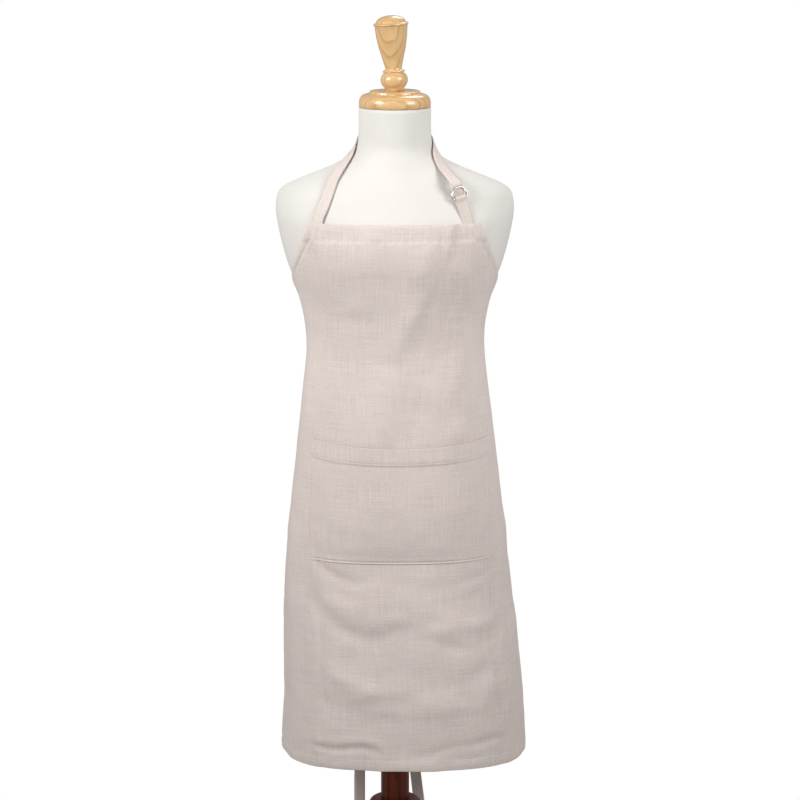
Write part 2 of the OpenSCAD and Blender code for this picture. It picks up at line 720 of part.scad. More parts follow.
felt_pad();
ballast_plate();
ballast_screws();
base_disc();
column_bolt();
column();
column_head();
clamp_insert();
clamp_pad();
clamp_stud();
clamp_knob();
pole();
swivel_washer();
pole_socket();
socket_screws();
bottom_board();
torso_shell();
form_cover();
neck_block();
neck_cap();
finial_stud();
finial();
apron_panel();
pocket();
neck_strap();
ring_strap();
d_ring_front();
d_ring_rear();
waist_tie_left();
waist_tie_right();
tie_bow();
tie_tail_left();
tie_tail_right();
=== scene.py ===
# A bib apron with a wide pocket, tied on a dress form: the visual pieces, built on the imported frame.
import json
from bisect import bisect_right
from math import cos, exp, pi, radians, sin, sqrt

import bmesh
import bpy
from mathutils import Matrix, Vector, noise


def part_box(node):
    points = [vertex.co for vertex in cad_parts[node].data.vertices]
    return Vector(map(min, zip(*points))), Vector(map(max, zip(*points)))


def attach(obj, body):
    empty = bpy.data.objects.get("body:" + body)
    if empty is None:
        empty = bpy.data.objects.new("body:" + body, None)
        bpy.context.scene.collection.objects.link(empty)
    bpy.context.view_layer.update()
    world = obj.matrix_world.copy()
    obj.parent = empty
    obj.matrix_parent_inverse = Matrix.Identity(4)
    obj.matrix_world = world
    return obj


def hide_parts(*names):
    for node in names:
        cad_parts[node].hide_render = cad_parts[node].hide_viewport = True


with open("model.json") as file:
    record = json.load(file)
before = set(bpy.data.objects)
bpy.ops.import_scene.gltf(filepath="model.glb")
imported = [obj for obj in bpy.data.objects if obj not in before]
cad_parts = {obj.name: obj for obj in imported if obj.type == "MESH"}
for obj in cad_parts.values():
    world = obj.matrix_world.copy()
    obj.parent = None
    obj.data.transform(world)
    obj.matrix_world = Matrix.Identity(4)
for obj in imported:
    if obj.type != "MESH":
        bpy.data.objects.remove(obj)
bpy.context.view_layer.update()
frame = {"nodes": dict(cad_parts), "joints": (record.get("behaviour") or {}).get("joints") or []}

mm = 0.001
noise.seed_set(1)  # the folds wander the same way each run

camera = dict(place=(0.0075, -4.2, 1.9), down=11.56, lens=129.6)


def makeCamera():
    data = bpy.data.cameras.new("camera")
    data.lens = camera["lens"]
    data.sensor_width = 36
    data.clip_end = 50
    eye = bpy.data.objects.new("camera", data)
    eye.location = camera["place"]
    eye.rotation_euler = (radians(90 - camera["down"]), 0, 0)
    bpy.context.scene.collection.objects.link(eye)
    bpy.context.scene.camera = eye
    print("camera placed")


form = dict(
    foot=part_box("torso_shell")[0][2],
    top=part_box("torso_shell")[1][2],
    shoulders=0.346,
    chest=0.226,
    neck=0.104,
    cover=1 * mm,
)
form["height"] = form["top"] - form["foot"]

panel = dict(
    width=0.710,
    length=0.813,
    bib=0.254,
    armhole=0.274,
    thick=0.9 * mm,
    stand=1.2 * mm,
    topHem=26 * mm,
    footHem=17 * mm,
    sideHem=11 * mm,
    swing=11 * mm,       # the skirt hangs a little to one side
    flare=1.115,         # the hem's half width, front and back depths against the hip's
    flareFront=1.15,
    flareBack=0.98,
    hemRoundness=2.8,
    pad=0.6 * mm,        # the hem's extra thickness, its stitched groove and its ripple
    groove=0.7 * mm,
    ripple=0.4 * mm,
)
panel["top"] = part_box("apron_panel")[1][2]
panel["foot"] = panel["top"] - panel["length"]
strap = dict(width=17 * mm, thick=1.3 * mm, seam=1.7 * mm)  # seam: how far the stitches are from the edge


def bodyRow(h, w, front, back, roundness):
    half = form["shoulders"] / 2
    z = form["foot"] + h * form["height"]
    return [z, w * half, front * form["chest"], back * form["chest"], roundness]


def neckRow(h, w, front, back):
    r = form["neck"] / 2
    return [form["foot"] + h * form["height"], w * r, front * r, back * r, 2]


formRows = [
    bodyRow(0.000, 0.83, 0.44, 0.46, 2.3),
    bodyRow(0.117, 0.902, 0.48, 0.50, 2.3),
    bodyRow(0.200, 0.868, 0.48, 0.50, 2.3),
    bodyRow(0.327, 0.806, 0.46, 0.44, 2.3),
    bodyRow(0.433, 0.757, 0.44, 0.41, 2.3),
    bodyRow(0.533, 0.727, 0.43, 0.39, 2.2),
    bodyRow(0.615, 0.785, 0.46, 0.41, 2.2),
    bodyRow(0.697, 0.915, 0.51, 0.43, 2.2),
    bodyRow(0.777, 0.995, 0.50, 0.46, 2.2),
    bodyRow(0.816, 1.00, 0.44, 0.45, 2.2),
    bodyRow(0.840, 0.953, 0.39, 0.43, 2.2),
    bodyRow(0.860, 0.779, 0.34, 0.39, 2.1),
    bodyRow(0.880, 0.565, 0.29, 0.34, 2.0),
    neckRow(0.900, 1.34, 1.12, 1.26),
    neckRow(0.920, 1.07, 1.00, 1.08),
    neckRow(0.956, 1.00, 1.00, 1.00),
    neckRow(1.000, 1.00, 1.00, 1.00),
]


def blendRows(a, b, t):
    return [x + (y - x) * t for x, y in zip(a, b)]


def rowSlope(rows, i):
    a, b = rows[max(i - 1, 0)], rows[min(i + 1, len(rows) - 1)]
    return [(y - x) / (b[0] - a[0]) for x, y in zip(a, b)]


def smoothRow(rows, z):
    z = min(max(z, rows[0][0]), rows[-1][0])
    i = min(bisect_right([r[0] for r in rows], z), len(rows) - 1) - 1
    a, b = rows[i], rows[i + 1]
    d = b[0] - a[0]
    t = (z - a[0]) / d
    sa, sb = rowSlope(rows, i), rowSlope(rows, i + 1)
    h0, h1, h2, h3 = 2 * t**3 - 3 * t * t + 1, t**3 - 2 * t * t + t, 3 * t * t - 2 * t**3, t**3 - t * t
    return [p * h0 + u * d * h1 + q * h2 + v * d * h3 for p, q, u, v in zip(a, b, sa, sb)]


def lookup(table, x):
    for (x0, y0), (x1, y1) in zip(table, table[1:]):
        if x <= x1:
            return y0 + (y1 - y0) * min(max((x - x0) / (x1 - x0), 0), 1)
    return table[-1][1]


def ramp(x, low, high):  # smooth step from 0 to 1
    t = min(max((x - low) / (high - low), 0), 1)
    return t * t * (3 - 2 * t)


def rim(section, angle, lift=0.0):  # angle 0 is the front, a quarter turn the wearer's left side
    _, w, front, back, n = section
    s, c = sin(angle), cos(angle)
    x = (w + lift) * abs(s) ** (2 / n) * (1 if s >= 0 else -1)
    y = (-(front + lift) if c > 0 else back + lift) * abs(c) ** (2 / n)
    return x, y


def onForm(angle, h, lift):  # angle in degrees, height as a share of the form
    z = form["foot"] + h * form["height"]
    a = radians(angle)
    return Vector((*rim(smoothRow(formRows, z), a), z)) + formNormal(a, z) * lift


def formNormal(a, z):
    here = smoothRow(formRows, z)
    step = 0.02
    x0, y0 = rim(here, a - step)
    x1, y1 = rim(here, a + step)
    lo, hi = rim(smoothRow(formRows, z - 2 * mm), a), rim(smoothRow(formRows, z + 2 * mm), a)
    return Vector((x1 - x0, y1 - y0, 0)).cross(Vector((hi[0] - lo[0], hi[1] - lo[1], 4 * mm))).normalized()


def ease(z):  # how far the cloth stands off the moulded shell
    h = (z - form["foot"]) / form["height"]
    return form["cover"] + lookup(
        [(0.1, 3 * mm), (0.35, 4 * mm), (0.53, 3 * mm), (0.68, 2 * mm), (0.74, 4.5 * mm), (0.8, 4.5 * mm)], h)


hipZ = form["foot"] + 0.117 * form["height"]


def grown(section, g):
    return [section[0], section[1] + g, section[2] + g, section[3] + g, section[4]]


hipSection = grown(smoothRow(formRows, hipZ), ease(hipZ))
hemSection = [panel["foot"], hipSection[1] * panel["flare"], hipSection[2] * panel["flareFront"],
              hipSection[3] * panel["flareBack"], panel["hemRoundness"]]


def halfWidth(t):  # half the flat panel's width, t below the bib's top edge
    if t >= panel["armhole"]:
        return panel["width"] / 2
    share = (max(t, 0) / panel["armhole"]) ** 1.2
    return panel["bib"] / 2 + (panel["width"] - panel["bib"]) / 2 * share


rowCache = {}


def panelRow(t):
    key = round(t, 5)
    if key not in rowCache:
        z = panel["top"] - t
        if z >= hipZ:
            section = grown(smoothRow(formRows, z), ease(z))
        else:
            share = (hipZ - z) / (hipZ - panel["foot"])
            section = blendRows(hipSection, hemSection, sin(pi / 2 * share**1.3))
        steps = 90
        angles = [pi * i / steps for i in range(steps + 1)]
        points = [Vector(rim(section, a)) for a in angles]
        sums = [0.0]
        for p, q in zip(points, points[1:]):
            sums.append(sums[-1] + (q - p).length)
        hang = ramp(t, panel["armhole"], panel["length"])
        shift = 3 * mm * ramp(t, 0.12, 0.30) + panel["swing"] * hang ** 1.2
        rowCache[key] = z, section, angles, sums, shift
    return rowCache[key]


# Soft folds in the flat cloth: sideways and down from the top centre, in mm.
# Each one: start, end, how much its middle sinks, half width, height.
folds = [
    ((50, 45), (-22, 285), 0, 28, 2.2),        # long soft ridge down from the ring side
    ((88, 55), (22, 270), 0, 22, -2.6),
    ((104, 110), (92, 300), 0, 18, 1.6),
    ((98, 8), (100, 92), 0, 6, -2.8),
    ((84, 8), (82, 40), 0, 8, 1.6),
    ((-80, 86), (0, 93), 4, 12, -1.0),
    ((-95, 137), (-20, 139), 4, 11, -0.9),
    ((-95, 205), (-20, 207), 3, 12, -0.8),
    ((-60, 60), (-64, 200), 0, 22, 1.2),
    ((10, 14), (70, 18), 0, 14, -1.6),
    ((-110, 18), (-60, 16), 0, 12, -1.2),
    ((-108, 512), (-58, 530), 2, 6, -1.8),     # swags under the pocket, left
    ((-118, 532), (-25, 585), 10, 15, 2.2),
    ((-118, 574), (-35, 612), 8, 13, -2.0),
    ((-105, 668), (-40, 694), 6, 14, 1.8),
    ((-118, 712), (-30, 742), 6, 14, -1.4),
    ((138, 510), (85, 538), 2, 8, -1.5),       # swags, right
    ((120, 552), (70, 566), 3, 10, -1.3),
    ((142, 590), (60, 604), 6, 11, 1.8),
    ((142, 614), (75, 630), 5, 11, -1.8),
    ((142, 696), (40, 722), 8, 15, 1.7),
    ((125, 668), (50, 684), 6, 13, -1.3),
    ((-117, 500), (-121, 800), 0, 5, -1.5),    # pressed lines under the pocket's sides
    ((-128, 520), (-134, 800), 0, 9, 1.4),
    ((150, 500), (152, 800), 0, 6, -1.3),
    ((160, 520), (164, 800), 0, 9, 1.1),
    ((12, 496), (14, 600), 0, 4, -0.9),
    ((-128, 778), (-50, 785), -2, 5, -1.9),    # crease just above the hem
    ((-120, 767), (-56, 772), -2, 7, 1.2),
    ((30, 788), (132, 774), 2, 5, -2.2),
    ((-60, 700), (60, 706), 4, 16, 1.6),
    ((-30, 812), (40, 812), 0, 30, 2.5),
]


def foldHeight(s, t):
    x, y = s / mm, t / mm
    wander = noise.noise_vector(Vector((x / 55, y / 55, 4.0)))
    x, y = x + 11 * wander.x, y + 11 * wander.y
    fade = 1 + 1.1 * noise.noise(Vector((x / 38, y / 38, 8.0)))
    total = 0.0
    for (x0, y0), (x1, y1), sink, half, height in folds:
        dx, dy = x1 - x0, y1 - y0
        length = sqrt(dx * dx + dy * dy)
        along = ((x - x0) * dx + (y - y0) * dy) / length / length
        if not -0.6 < along < 1.6:
            continue
        across = ((x - x0) * dy - (y - y0) * dx) / length
        across += sink * (1 - (2 * along - 1) ** 2) * (1 if dx > 0 else -1)
        if abs(across) > 3 * half:
            continue
        ends = exp(-(max(-along, along - 1, 0) / 0.22) ** 2)
        total += height * exp(-(across / half) ** 2) * ends
    return total * fade * mm


def clothHeight(s, t):
    z = panel["top"] - t
    skirt = ramp(t, 0.30, 0.55)
    small = sum(size * noise.noise(Vector((s * a, t * b, a))) for size, a, b in (
        (1.1 * mm, 8, 17), (0.55 * mm, 19, 34), (0.2 * mm, 50, 85)))
    flutes = sin((abs(s) - 0.205) / 0.075 * pi + (0.6 if s > 0 else 0)) * 6 * mm
    flutes *= ramp(abs(s), 0.205, 0.26) * ramp(t, 0.33, 0.75)
    lift = foldHeight(s, t) + small * (0.6 + skirt) + flutes
    if z > form["foot"]:
        lift = max(lift, -(ease(z) - form["cover"]) + 1.1 * mm)
    return lift


def drape(s, t, lift=0.0, height=True):
    z, section, angles, sums, shift = panelRow(t)
    d = min(abs(s), sums[-1] - 1e-6)
    i = min(bisect_right(sums, d), len(sums) - 1) - 1
    part = (d - sums[i]) / (sums[i + 1] - sums[i])
    a = angles[i] + (angles[i + 1] - angles[i]) * part
    x, y = rim(section, a)
    _, w, front, back, n = section
    depth = front if y < 0 else back
    nx = (abs(x) / w) ** (n - 1) / w
    ny = (abs(y) / depth) ** (n - 1) / depth * (1 if y > 0 else -1)
    side = 1 if s >= 0 else -1
    out = Vector((nx * side, ny, 0)).normalized()
    total = lift + (clothHeight(s, t) if height else 0)
    free = ramp(t, 0.52, 0.72)                               # over the form the far side stays put
    shift *= free + (1 - free) * (0.5 + 0.5 * x * side / w)
    return Vector((x * side + shift, y, z)) + out * total


def drapeFrame(s, t, lift=0.0):  # place, then the cloth's sideways, downward and outward directions
    step = 2 * mm
    p = drape(s, t, lift)
    across = (drape(s + step, t, lift) - drape(s - step, t, lift)).normalized()
    down = (drape(s, t + step, lift) - drape(s, t - step, lift)).normalized()
    out = across.cross(down).normalized() * -1
    return p, across, down, out


def addObject(name, bm, material=None, smooth=True):
    mesh = bpy.data.meshes.new(name)
    bm.to_mesh(mesh)
    bm.free()
    for face in mesh.polygons:
        face.use_smooth = smooth
    piece = bpy.data.objects.new(name, mesh)
    bpy.context.scene.collection.objects.link(piece)
    if material:
        mesh.materials.append(material)
    return piece


def gridSheet(name, columns, rows, place, flat, material=None, closed=False, flip=False):
    bm = bmesh.new()
    bmesh.ops.create_grid(bm, x_segments=columns, y_segments=rows, size=1)
    uvLayer = bm.loops.layers.uv.new("flat")
    spots = {v.index: (round((v.co.x + 1) / 2 * columns), round((v.co.y + 1) / 2 * rows)) for v in bm.verts}
    for face in bm.faces:
        for loop in face.loops:
            loop[uvLayer].uv = flat(*spots[loop.vert.index])
    for v in bm.verts:
        v.co = place(*spots[v.index])
    if closed:
        bmesh.ops.remove_doubles(bm, verts=bm.verts, dist=0.02 * mm)
    if flip:
        bmesh.ops.reverse_faces(bm, faces=bm.faces)
    return addObject(name, bm, material)


def finishModifiers(piece):
    graph = bpy.context.evaluated_depsgraph_get()
    mesh = bpy.data.meshes.new_from_object(piece.evaluated_get(graph), depsgraph=graph)
    piece.modifiers.clear()
    old = piece.data
    piece.data = mesh
    bpy.data.meshes.remove(old)
    return piece


def thicken(piece, thickness, offset=-1.0, group=None, least=0.5):
    solid = piece.modifiers.new("thickness", "SOLIDIFY")
    solid.thickness = thickness
    solid.offset = offset
    solid.use_even_offset = False
    if group:
        solid.vertex_group = group
        solid.thickness_vertex_group = least
    return finishModifiers(piece)


def splinePoints(points, spacing):  # Catmull-Rom through the points, then evenly spaced
    points = [Vector(p) for p in points]
    last = len(points) - 1
    fine = []
    for i in range(last):
        a, b, c, d = points[max(i - 1, 0)], points[i], points[i + 1], points[min(i + 2, last)]
        for k in range(12):
            t = k / 12
            fine.append(0.5 * (2 * b + (c - a) * t + (2 * a - 5 * b + 4 * c - d) * t * t
                               + (3 * b - a - 3 * c + d) * t**3))
    fine.append(points[last])
    sums = [0.0]
    for p, q in zip(fine, fine[1:]):
        sums.append(sums[-1] + (q - p).length)
    count = max(2, round(sums[-1] / spacing))
    out = []
    for k in range(count + 1):
        d = sums[-1] * k / count
        i = min(bisect_right(sums, d), len(sums) - 1) - 1
        out.append(fine[i].lerp(fine[i + 1], (d - sums[i]) / max(sums[i + 1] - sums[i], 1e-9)))
    return out, sums[-1]


def ribbonFrames(points, sideAt):  # place, run, sideways and outward directions along a tape
    frames = []
    last = len(points) - 1
    for i, p in enumerate(points):
        run = (points[min(i + 1, last)] - points[max(i - 1, 0)]).normalized()
        side = sideAt(i / last, p, run)
        side = (side - run * side.dot(run)).normalized()
        frames.append((p, run, side, side.cross(run)))
    return frames


def ribbon(name, frames, material, width=None, thickness=None, crown=0.35 * mm, across=6):
    width = width or strap["width"]
    spacing = (frames[1][0] - frames[0][0]).length

    def place(i, j):
        p, run, side, out = frames[j]
        u = 2 * i / across - 1
        edge = width / 2 * (1 + 0.02 * noise.noise(Vector((j * 0.13, u * 3, 1.0))))
        lift = crown * (1 - u * u) + 0.3 * mm * noise.noise(Vector((j * 0.21, u, 5.0)))
        return p + side * u * edge + out * lift

    piece = gridSheet(name, across, len(frames) - 1, place,
                      lambda i, j: ((i / across - 0.5) * width, j * spacing), material)
    return thicken(piece, thickness or strap["thick"], 0.0)


def tube(name, points, facing, radius, material, sides=14):  # a closed ring of wire
    count = len(points)

    def place(i, j):
        p, ahead, behind = points[j % count], points[(j + 1) % count], points[(j - 1) % count]
        run = (ahead - behind).normalized()
        side = run.cross(facing).normalized()
        a = 2 * pi * i / sides
        return p + side * cos(a) * radius + run.cross(side) * sin(a) * radius

    return gridSheet(name, sides, count, place, lambda i, j: (i / sides, j / count), material, closed=True)


# profile: radius and height in mm
def turned(name, profile, foot, material, node, slot, body, segments=96, lean=0):
    bm = bmesh.new()
    verts = [bm.verts.new((r * mm, 0, foot + z * mm)) for r, z in profile]
    edges = [bm.edges.new(pair) for pair in zip(verts, verts[1:])]
    bmesh.ops.spin(bm, geom=[*verts, *edges], cent=(0, 0, 0), axis=(0, 0, 1), angle=2 * pi,
                   steps=segments, use_merge=True)
    bmesh.ops.remove_doubles(bm, verts=bm.verts, dist=0.01 * mm)
    bmesh.ops.recalc_face_normals(bm, faces=bm.faces)
    bmesh.ops.rotate(bm, verts=bm.verts, cent=(0, 0, foot), matrix=Matrix.Rotation(radians(lean), 3, "Y"))
    piece = addObject(name, bm, material)
    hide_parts(node)
    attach(piece, body)
    return piece


def dress(piece, slot, *nodes):  # a cloth piece that rides on the form
    if nodes:
        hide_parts(*nodes)
    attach(piece, "form")
    return piece


stitch = dict(length=2.3 * mm, pitch=3.1 * mm, radius=0.26 * mm)


def stitchTemplate():
    bm = bmesh.new()
    bmesh.ops.create_cone(bm, cap_ends=True, segments=6, radius1=stitch["radius"], radius2=stitch["radius"],
                          depth=stitch["length"], matrix=Matrix.Rotation(pi / 2, 4, "Y"))
    long = [e for e in bm.edges if abs(e.verts[0].co.x - e.verts[1].co.x) > mm]
    bmesh.ops.subdivide_edges(bm, edges=long, cuts=2)
    for v in bm.verts:
        u = abs(v.co.x) / (stitch["length"] / 2)
        shrink = 1 - 0.45 * u**3
        v.co.y *= shrink
        v.co.z = v.co.z * shrink - 0.35 * mm * u**3
    mesh = bpy.data.meshes.new("stitch")
    bm.to_mesh(mesh)
    bm.free()
    return mesh


def sewStitches(name, spots, material):  # spots: place, run and outward directions
    template = stitchTemplate()
    bm = bmesh.new()
    for place, run, out in spots:
        side = out.cross(run).normalized()
        up = run.cross(side)
        start = len(bm.verts)
        bm.from_mesh(template)
        bm.verts.ensure_lookup_table()
        matrix = Matrix((run, side, up)).transposed().to_4x4()
        matrix.translation = place
        bmesh.ops.transform(bm, matrix=matrix, verts=bm.verts[start:])
    bpy.data.meshes.remove(template)
    return addObject(name, bm, material)


def seamOnPanel(path, lift):  # stitches along points of the flat cloth
    spots = []
    for (s0, t0), (s1, t1) in zip(path, path[1:]):
        length = sqrt((s1 - s0) ** 2 + (t1 - t0) ** 2)
        count = max(1, round(length / stitch["pitch"]))
        for k in range(count):
            u = (k + 0.5) / count
            s, t = s0 + (s1 - s0) * u, t0 + (t1 - t0) * u
            p, across, down, out = drapeFrame(s, t, lift(s, t) if callable(lift) else lift)
            run = (across * (s1 - s0) + down * (t1 - t0)).normalized()
            spots.append((p, run, out))
    return spots


def seamOnRibbon(frames, offset, lift, start, end):
    length = sum((b[0] - a[0]).length for a, b in zip(frames, frames[1:]))
    count = round(length * (end - start) / stitch["pitch"])
    spots = []
    for k in range(count):
        j = (start + (end - start) * (k + 0.5) / count) * (len(frames) - 1)
        i = min(int(j), len(frames) - 2)
        a, b = frames[i], frames[i + 1]
        p = a[0].lerp(b[0], j - i)
        spots.append((p + a[2] * offset + a[3] * lift, a[1], a[3]))
    return spots


threadLift = strap["thick"] / 2 + 0.2 * mm


def edgeSeams(frames, start=0.0, end=1.0, lift=threadLift, sides=(1, -1)):
    edge = strap["width"] / 2 - strap["seam"]
    return [spot for sign in sides for spot in seamOnRibbon(frames, sign * edge, lift, start, end)]


class Wire:  # an output socket; Python's operators on it add Math nodes
    def __init__(self, shader, socket):
        self.shader = shader
        self.socket = socket

    def maths(self, operation, *values):
        return self.shader.add("ShaderNodeMath", {"operation": operation}, dict(enumerate(values)))

    def __add__(self, other):
        return self.maths("ADD", self, other)

    def __mul__(self, other):
        return self.maths("MULTIPLY", self, other)

    def __truediv__(self, other):
        return self.maths("DIVIDE", self, other)

    def sine(self):
        return self.maths("SINE", self)


class Shader:
    def __init__(self, name, values):
        self.material = bpy.data.materials.new(name)
        self.material.use_nodes = True
        self.tree = self.material.node_tree
        self.surface = self.tree.nodes["Principled BSDF"]
        for key, value in values.items():
            self.feed(key, value)

    def add(self, kind, settings, inputs, output=0):
        node = self.tree.nodes.new(kind)
        for key, value in settings.items():
            if key == "stops":
                stops = node.color_ramp.elements
                while len(stops) < len(value):
                    stops.new(1.0)
                for stop, (place, colour) in zip(stops, value):
                    stop.position = place
                    stop.color = (*colour, 1)
            else:
                setattr(node, key, value)
        for key, value in inputs.items():
            self.join(node.inputs[key], value)
        return Wire(self, node.outputs[output])

    def join(self, socket, value):
        if isinstance(value, Wire):
            self.tree.links.new(value.socket, socket)
        else:
            socket.default_value = value

    def feed(self, key, value):
        self.join(self.surface.inputs[key], value)

    def mapped(self, source, scale=(1, 1, 1), turn=(0, 0, 0), shift=(0, 0, 0)):
        if source == "flat":
            place = self.add("ShaderNodeUVMap", {"uv_map": "flat"}, {})
        else:
            place = self.add("ShaderNodeTexCoord", {}, {}, "Object")
        return self.add("ShaderNodeMapping", {}, {
            "Vector": place, "Scale": scale, "Rotation": turn, "Location": shift})

    def halves(self, place):
        return [self.add("ShaderNodeSeparateXYZ", {}, {"Vector": place}, output) for output in (0, 1)]

    def cloud(self, place, size, detail=2.0, rough=0.5, distort=0.0):
        return self.add("ShaderNodeTexNoise", {}, {
            "Vector": place, "Scale": size, "Detail": detail, "Roughness": rough, "Distortion": distort})

    def mix(self, factor, a, b, blend="MIX"):
        return self.add("ShaderNodeMix", {"data_type": "RGBA", "blend_type": blend},
                        {0: factor, 6: (*a, 1) if isinstance(a, tuple) else a,
                         7: (*b, 1) if isinstance(b, tuple) else b}, 2)

    def stretch(self, value, low, high, toLow=0.0, toHigh=1.0):
        return self.add("ShaderNodeMapRange", {}, {
            "Value": value, "From Min": low, "From Max": high, "To Min": toLow, "To Max": toHigh})

    def bump(self, height, distance, strength=1.0, under=None):
        inputs = {"Height": height, "Distance": distance, "Strength": strength}
        if under:
            inputs["Normal"] = under
        return self.add("ShaderNodeBump", {}, inputs)


linen = dict(pale=(0.735, 0.655, 0.615), dark=(0.480, 0.412, 0.388), yarn=0.62 * mm, roughness=0.88)


def linenMaterial():
    look = Shader("linenCloth", {"Sheen Weight": 0.15, "Sheen Roughness": 0.45, "Specular IOR Level": 0.2})
    flat = look.mapped("flat")
    across, down = look.halves(flat)
    yarn = pi / linen["yarn"]
    weave = (across * yarn).sine() * (down * yarn).sine()    # plain weave: over one, under one
    warpSlub = look.cloud(look.mapped("flat", (820, 17, 1)), 1.0, 3.0, 0.6)
    weftSlub = look.cloud(look.mapped("flat", (17, 820, 1), shift=(3, 5, 0)), 1.0, 3.0, 0.6)
    cross = look.cloud(look.mapped("flat", (240, 300, 1), shift=(9, 1, 0)), 1.0, 2.0, 0.6)
    mottle = look.cloud(look.mapped("flat", (11, 14, 1)), 1.0, 3.0, 0.55)
    tone = warpSlub * 0.32 + weftSlub * 0.34 + cross * 0.2 + mottle * 0.14
    shade = look.stretch(tone, 0.33, 0.67)
    colour = look.mix(shade, linen["dark"], linen["pale"])
    warmth = look.cloud(look.mapped("flat", (46, 60, 1), shift=(1, 7, 0)), 1.0, 2.0)
    colour = look.mix(look.stretch(warmth, 0.35, 0.65, 0.0, 0.28), colour, (0.640, 0.555, 0.470))
    look.feed("Base Color", look.mix(look.stretch(weave, -1, 1, 0.0, 0.08), colour, (0.40, 0.34, 0.31)))
    look.feed("Roughness", look.stretch(shade, 0, 1, linen["roughness"], linen["roughness"] - 0.08))
    fine = look.bump(weave * 0.5 + (warpSlub + weftSlub), 0.16 * mm, 0.9)
    look.feed("Normal", look.bump(mottle, 1.0 * mm, 0.35, fine))
    return look.material


def threadMaterial():
    look = Shader("sewingThread", {"Sheen Weight": 0.3, "Specular IOR Level": 0.3})
    twist = look.cloud(look.mapped("object", (900, 900, 900)), 1.0, 1.0)
    look.feed("Base Color", look.mix(twist, (0.72, 0.65, 0.60), (0.83, 0.77, 0.72)))
    look.feed("Roughness", look.stretch(twist, 0, 1, 0.6, 0.75))
    return look.material


jersey = dict(pale=(0.650, 0.625, 0.590), dark=(0.585, 0.562, 0.530), wale=1.3 * mm, course=1.0 * mm)


def jerseyMaterial():
    look = Shader("jerseyKnit", {"Sheen Weight": 0.2, "Sheen Roughness": 0.5, "Specular IOR Level": 0.2})
    flat = look.mapped("flat")
    across, down = look.halves(flat)
    wale = (across * (2 * pi / jersey["wale"])).sine()
    course = (down * (2 * pi / jersey["course"])).sine()
    knit = wale * 0.6 + course * 0.4
    soft = look.cloud(look.mapped("flat", (9, 6, 1)), 1.0, 3.0)
    fuzz = look.cloud(look.mapped("flat", (600, 500, 1)), 1.0, 2.0)
    shade = look.stretch(soft * 0.7 + fuzz * 0.3, 0.3, 0.7)
    look.feed("Base Color", look.mix(shade, jersey["dark"], jersey["pale"]))
    look.feed("Roughness", look.stretch(fuzz, 0, 1, 0.82, 0.95))
    look.feed("Normal", look.bump(knit * 0.5 + fuzz, 0.10 * mm, 0.7))
    return look.material


woods = dict(
    maple=dict(pale=(0.640, 0.435, 0.215), dark=(0.430, 0.210, 0.070), gloss=0.28, coat=0.5, shine=0.4),
    # the stand's dark red-brown is partly its own darker wood and partly painted shade: the post's shadow
    # under the apron is baked into the colour
    stained=dict(pale=(0.210, 0.028, 0.004), dark=(0.020, 0.003, 0.001), gloss=0.36, coat=0.04, shine=0.25),
    plywood=dict(pale=(0.690, 0.540, 0.350), dark=(0.560, 0.400, 0.230), gloss=0.6, coat=0.0, shine=0.3),
)


def woodMaterial(kind, heart=(0.002, 0.034), spacing=4.2 * mm):  # heart: the tree's axis beside the piece
    wood = woods[kind]
    look = Shader(kind + "Wood", {"Coat Roughness": 0.12, "Specular IOR Level": wood["shine"]})
    bend = look.cloud(look.mapped("object", (22, 22, 9)), 1.0, 2.0, 0.5, 0.4)
    around = look.add("ShaderNodeVectorMath", {"operation": "LENGTH"},
                      {0: look.mapped("object", (1, 1, 0.02), shift=(-heart[0], -heart[1], 0))}, 1)
    years = around / spacing + bend * 1.3
    rings = years.maths("FRACT", years)
    growth = [(0.0, (0.05,) * 3), (0.6, (0.25,) * 3), (0.88, (0.9,) * 3), (0.97, (0.1,) * 3)]
    late = look.add("ShaderNodeValToRGB", {"stops": growth}, {"Fac": rings})
    pores = look.cloud(look.mapped("object", (900, 900, 30)), 1.0, 2.0, 0.6)
    streak = look.cloud(look.mapped("object", (260, 260, 7)), 1.0, 3.0, 0.6)
    blotch = look.cloud(look.mapped("object", (30, 30, 22)), 1.0, 2.0)
    shade = late * 0.40 + streak * 0.32 + blotch * 0.28
    colour = look.mix(look.stretch(shade, 0.22, 0.78), wood["pale"], wood["dark"])
    look.feed("Base Color", look.mix(look.stretch(pores, 0.58, 0.75, 0.0, 0.3), colour, wood["dark"]))
    look.feed("Roughness", look.stretch(streak, 0.3, 0.7, wood["gloss"], wood["gloss"] + 0.12))
    look.feed("Coat Weight", look.stretch(pores, 0.5, 0.8, wood["coat"], wood["coat"] * 0.7))
    look.feed("Normal", look.bump(pores * 0.5 + streak * 0.5, 0.03 * mm, 0.4))
    return look.material


metals = dict(
    nickel=dict(colour=(0.62, 0.61, 0.59), rough=(0.20, 0.32), metal=1.0, scale=300),
    zinc=dict(colour=(0.56, 0.57, 0.58), rough=(0.28, 0.45), metal=1.0, scale=180),
    brass=dict(colour=(0.72, 0.52, 0.22), rough=(0.22, 0.40), metal=1.0, scale=180),
    blackPaint=dict(colour=(0.030, 0.030, 0.032), rough=(0.42, 0.58), metal=0.0, scale=220),
    greyEnamel=dict(colour=(0.140, 0.145, 0.150), rough=(0.35, 0.5), metal=0.0, scale=120),
    nylon=dict(colour=(0.80, 0.79, 0.75), rough=(0.38, 0.5), metal=0.0, scale=150),
    mouldedShell=dict(colour=(0.78, 0.77, 0.74), rough=(0.5, 0.65), metal=0.0, scale=60),
    feltGrey=dict(colour=(0.060, 0.058, 0.056), rough=(0.92, 1.0), metal=0.0, scale=700),
)


